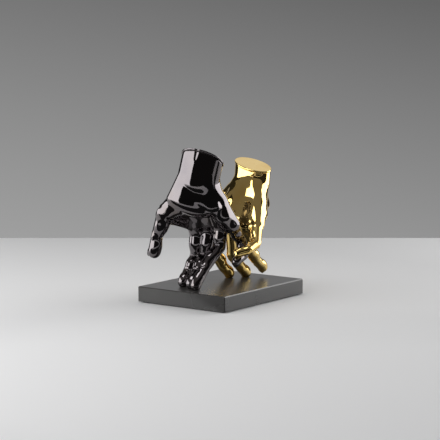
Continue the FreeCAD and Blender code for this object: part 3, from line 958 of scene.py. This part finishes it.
def floor_material(name):
    """A pale floor with painted shade that makes it darker away from the camera and to the right."""
    material, tree, shader = new_material(name)
    darker = ahead + sideways
    camera_at = CAMERA_PLACE.dot(darker)
    values = {"From Min": camera_at + FLOOR_START, "From Max": camera_at + FLOOR_FAR,
              "To Min": FLOOR_NEAR_TONE, "To Max": FLOOR_FAR_TONE}
    reach = along_direction(tree, "Object", tuple(darker))
    tone = add_node(tree, "ShaderNodeMapRange", values, {"Value": reach}).outputs["Result"]
    tree.links.new(tone, shader.inputs["Base Color"])
    set_values(shader, FLOOR_VALUES)
    return material


def ground_flag_material(name):
    """Matt black, for painted shade seen only in reflections."""
    material, _, shader = new_material(name)
    set_values(shader, GROUND_FLAG_VALUES)
    return material


def flag_material(name, radiance):
    """A dark screen with an even glow."""
    material, _, shader = new_material(name)
    glow = [radiance * share for share in FLAG_TINT]
    set_values(shader, {"Base Color": (0.0, 0.0, 0.0, 1), "Specular IOR Level": 0.0,
                        "Emission Color": (*glow, 1), "Emission Strength": 1.0})
    return material


def floor_strip(name, start, end, material):
    """A strip of the floor between two distances ahead of the camera."""
    foot = Vector((CAMERA_PLACE.x, CAMERA_PLACE.y, 0.0))
    near, far = foot + ahead * start, foot + ahead * end
    side = sideways * FLOOR_HALF
    corners = [near + side, far + side, far - side, near - side]
    return add_stage_piece(name, corners, [tuple(range(len(corners)))], material)


def add_floor():
    """The floor, in a part that reflections see and a near part that they don't."""
    below_axis = math.atan((FLOOR_LINE_PIXEL - FRAME_PIXELS / 2) / FRAME_PIXELS * SENSOR / CAMERA_LENS)
    reach = CAMERA_PLACE.z / math.tan(below_axis - CAMERA_PITCH)
    floor_strip("floor", MIRRORED_START, reach, floor_material("floor"))
    apron = floor_strip("floor_apron", FLOOR_START, MIRRORED_START, floor_material("floor_apron"))
    apron.visible_glossy = False


def add_softbox(name, turn_degrees, distance, height, width, tall, radiance):
    """A large soft light that faces the object from one side of the camera."""
    data = bpy.data.lights.new(name, "AREA")
    data.shape = "RECTANGLE"
    data.size = width
    data.size_y = tall
    data.energy = radiance * math.pi * width * tall
    box = bpy.data.objects.new(name, data)
    bpy.context.scene.collection.objects.link(box)
    towards = -level_direction(CAMERA_YAW + math.radians(turn_degrees))
    box.location = towards * distance + Vector((0.0, 0.0, height))
    aim = Vector((0.0, 0.0, SOFTBOX_AIM)) - box.location
    box.rotation_mode = "QUATERNION"
    box.rotation_quaternion = aim.to_track_quat("-Z", "Y")
    box.visible_camera = False


def add_flag(name, turns, heights, radiance):
    """A dark curved screen, as round a glossy thing in a studio."""
    points = []
    for step in range(FLAG_STEPS + 1):
        turn = CAMERA_YAW + math.radians(turns[0] + (turns[1] - turns[0]) * step / FLAG_STEPS)
        for tilt in [math.radians(height) for height in heights]:
            level = -level_direction(turn) * FLAG_DISTANCE * math.cos(tilt)
            points.append(level + Vector((0.0, 0.0, FLAG_DISTANCE * math.sin(tilt))))
    rows = len(heights)
    starts = [i * rows + j for i in range(FLAG_STEPS) for j in range(rows - 1)]
    faces = [(start, start + rows, start + rows + 1, start + 1) for start in starts]
    flag = add_stage_piece(name, points, faces, flag_material(name, radiance))
    show_to_reflections_only(flag)
    flag.visible_transmission = False


def add_ground_flag(name):
    """A dark strip on the floor before the object that puts painted shade into reflections."""
    flag = floor_strip(name, GROUND_FLAG_START, GROUND_FLAG_END, ground_flag_material(name))
    flag.location.z = GROUND_FLAG_HEIGHT
    show_to_reflections_only(flag)


def add_world():
    """Even light all round, and a backdrop for the camera with painted shade that darkens it upwards and to
    the right.
    """
    world = bpy.data.worlds.new("studio")
    world.use_nodes = True
    tree = world.node_tree
    fill = tree.nodes["Background"]
    set_values(fill, {"Color": FILL_COLOUR})
    darker = sideways * BACKDROP_FALL[0] + Vector((0.0, 0.0, BACKDROP_FALL[1]))
    fall = along_direction(tree, "Generated", tuple(darker))
    shade = add_node(tree, "ShaderNodeMath", {0: BACKDROP_TONE}, {1: fall})
    shade.operation = "SUBTRACT"
    backdrop = add_node(tree, "ShaderNodeBackground", links={"Color": shade.outputs["Value"]})
    seen = add_node(tree, "ShaderNodeLightPath")
    both = add_node(tree, "ShaderNodeMixShader", links={
        0: seen.outputs["Is Camera Ray"], 1: fill.outputs["Background"], 2: backdrop.outputs["Background"]})
    tree.links.new(both.outputs["Shader"], tree.nodes["World Output"].inputs["Surface"])
    bpy.context.scene.world = world


add_floor()
for box_name, box_row in SOFTBOXES.items():
    add_softbox(box_name, *box_row)
add_ground_flag("ground_flag")
for flag_name, flag_row in FLAGS.items():
    add_flag(flag_name, *flag_row)
add_world()
bpy.context.scene.view_settings.view_transform = "Standard"
